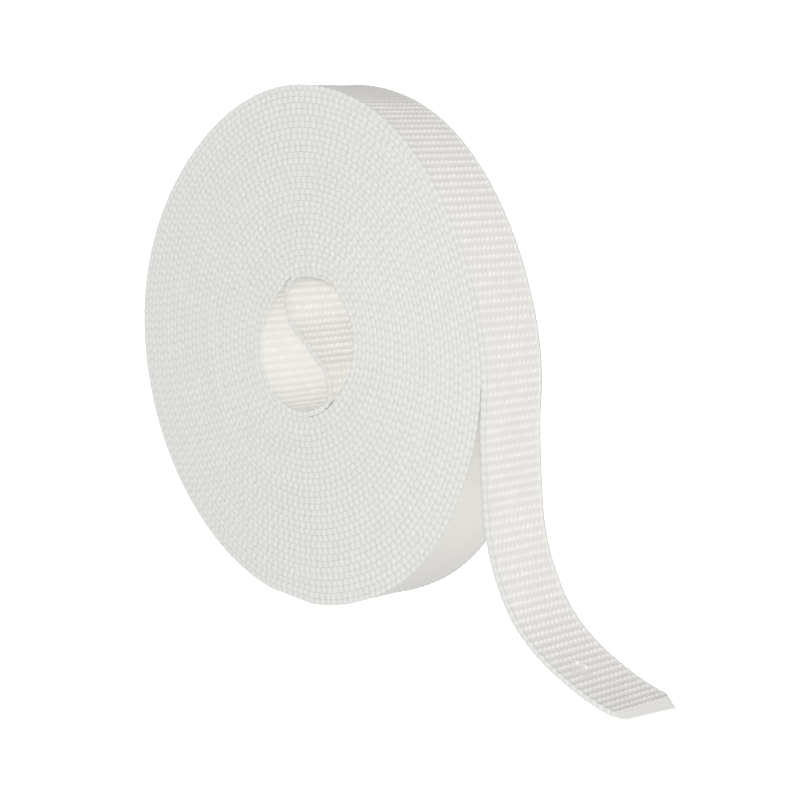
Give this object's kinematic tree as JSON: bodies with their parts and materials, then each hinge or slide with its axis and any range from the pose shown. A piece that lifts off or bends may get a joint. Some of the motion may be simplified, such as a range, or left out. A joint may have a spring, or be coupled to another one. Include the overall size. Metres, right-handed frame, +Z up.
{
  "type": "roll of roller shutter strap",
  "caption": "Flat woven shutter strap wound into a disc that stands on its rim, with its outer end loose and its inner end across the hole.",
  "frame": {"origin": "on the surface that the roll stands on, under the winding's axis and midway across the strap's width", "axes": "+Z up, +Y along the winding's axis towards the far side, +X towards the tip of the loose outer end"},
  "size_m": [0.1304, 0.014, 0.0946],
  "materials": {
    "strap": "off-white polyester webbing with cross ribs, matt with a faint sheen"
  },
  "bodies": {
    "root": {"strap_roll": "strap", "outer_end": "strap", "inner_end": "strap"}
  },
  "joints": []
}
